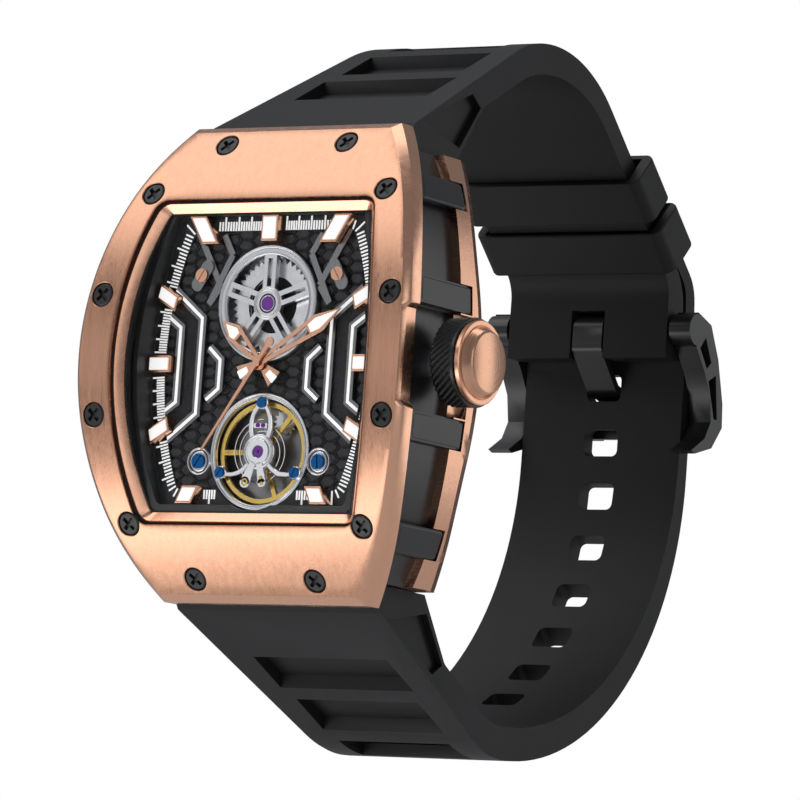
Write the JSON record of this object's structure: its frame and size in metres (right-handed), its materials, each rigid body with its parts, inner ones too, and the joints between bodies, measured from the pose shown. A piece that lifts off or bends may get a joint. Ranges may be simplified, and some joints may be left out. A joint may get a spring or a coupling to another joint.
{
  "type": "tonneau wristwatch",
  "caption": "Tonneau wristwatch: curved rose-gold bezel, openworked dial, black case and crown, and a rubber strap closed by a pin buckle.",
  "frame": {"origin": "centre of the wrist opening inside the closed strap, level with the middle of the dial", "axes": "+X towards the crown, +Y away from the viewer (the dial faces -Y), +Z towards twelve o'clock"},
  "size_m": [0.0461, 0.0769, 0.0772],
  "materials": {
    "rose_gold": "brushed upright, polished bevels",
    "black_metal": "satin",
    "sapphire": "polished",
    "black_rubber": "matt",
    "dial_black": "matt",
    "brushed_steel": "brushed",
    "polished_steel": "polished",
    "white_lume": "matt",
    "blue_steel": "polished",
    "ruby": "polished",
    "gold": "polished"
  },
  "bodies": {
    "case": {"bezel": "rose_gold", "bezel_screws": "black_metal", "crystal": "sapphire", "crystal_gasket": "black_rubber", "bezel_gasket": "black_rubber", "case_middle": "black_metal", "case_back": "rose_gold", "back_gasket": "black_rubber", "back_crystal": "sapphire", "back_glass_ring": "black_rubber", "back_screws": "black_metal", "strap_screws": "black_metal", "minute_flange": "dial_black", "dial_plate": "dial_black", "dial_frames": "brushed_steel", "frame_inlays": "white_lume", "hour_markers": "rose_gold", "marker_lume": "white_lume", "upper_struts": "brushed_steel", "strut_plates": "brushed_steel", "dial_screws": "rose_gold", "barrel_bridge": "polished_steel", "barrel_jewel": "ruby", "balance_ring": "polished_steel", "balance_bridge": "polished_steel", "ring_screws": "blue_steel", "bridge_screws": "blue_steel", "balance_jewel": "ruby", "regulator": "gold", "hairspring": "polished_steel", "main_plate": "brushed_steel", "movement_ring": "brushed_steel", "rear_bridge": "brushed_steel", "rotor_post": "polished_steel", "crown_tube": "polished_steel", "upper_strap": "black_rubber", "lower_strap": "black_rubber", "fixed_keeper": "black_rubber", "buckle_bar": "black_metal"},
    "minute_hand": {"minute_hand": "rose_gold", "minute_lume": "white_lume"},
    "hour_hand": {"hour_hand": "rose_gold", "hour_lume": "white_lume"},
    "seconds_hand": {"seconds_hand": "rose_gold"},
    "barrel": {"barrel_wheel": "polished_steel"},
    "balance": {"balance_wheel": "gold", "balance_staff": "polished_steel"},
    "escape_wheel": {"escape_wheel": "brushed_steel"},
    "pallet_fork": {"pallet_fork": "brushed_steel"},
    "rotor": {"rotor": "polished_steel"},
    "setting_lever": {"setting_lever": "polished_steel"},
    "crown": {"crown_grip": "black_metal", "crown_cap": "rose_gold", "stem": "brushed_steel"},
    "free_keeper": {"free_keeper": "black_rubber"},
    "buckle_frame": {"buckle_frame": "black_metal"},
    "buckle_prong": {"buckle_prong": "black_metal"}
  },
  "joints": [
    {"name": "minute_turn", "type": "hinge", "parent": "case", "child": "minute_hand", "pos_m": [0, -0.037, -0.00047], "axis": [0, 1, 0], "continuous": true},
    {"name": "hour_turn", "type": "hinge", "parent": "case", "child": "hour_hand", "pos_m": [0, -0.037, -0.00047], "axis": [0, 1, 0], "continuous": true},
    {"name": "seconds_turn", "type": "hinge", "parent": "case", "child": "seconds_hand", "pos_m": [0, -0.037, -0.00047], "axis": [0, 1, 0], "continuous": true},
    {"name": "barrel_turn", "type": "hinge", "parent": "case", "child": "barrel", "pos_m": [0, -0.037, 0.00585], "axis": [0, 1, 0], "continuous": true},
    {"name": "balance_swing", "type": "hinge", "parent": "case", "child": "balance", "pos_m": [0, -0.037, -0.00955], "axis": [0, 1, 0], "range_deg": [-270, 270]},
    {"name": "escape_turn", "type": "hinge", "parent": "case", "child": "escape_wheel", "pos_m": [0.0019, -0.037, -0.0062], "axis": [0, 1, 0], "continuous": true},
    {"name": "fork_rock", "type": "hinge", "parent": "case", "child": "pallet_fork", "pos_m": [-0.0004, -0.037, -0.0069], "axis": [0, 1, 0], "range_deg": [-5, 5]},
    {"name": "rotor_turn", "type": "hinge", "parent": "case", "child": "rotor", "pos_m": [0, -0.037, 0], "axis": [0, 1, 0], "continuous": true},
    {"name": "crown_pull", "type": "slide", "parent": "case", "child": "setting_lever", "axis": [1, 0, 0], "range_m": [0, 0.0015]},
    {"name": "crown_turn", "type": "hinge", "parent": "setting_lever", "child": "crown", "pos_m": [0.0212, -0.0338, 0], "axis": [1, 0, 0], "continuous": true},
    {"name": "keeper_slide", "type": "slide", "parent": "case", "child": "free_keeper", "axis": [0, -0.7312, 0.6821], "range_m": [0, 0.005]},
    {"name": "frame_swing", "type": "hinge", "parent": "case", "child": "buckle_frame", "pos_m": [0, 0.02785, 0.0122], "axis": [1, 0, 0], "range_deg": [0, 2]},
    {"name": "prong_swing", "type": "hinge", "parent": "buckle_frame", "child": "buckle_prong", "pos_m": [0, 0.02785, 0.0122], "axis": [1, 0, 0], "range_deg": [0, 2]}
  ],
  "couplings": [
    {"joint": "hour_turn", "follows": "minute_turn", "ratio": 0.083333}
  ]
}
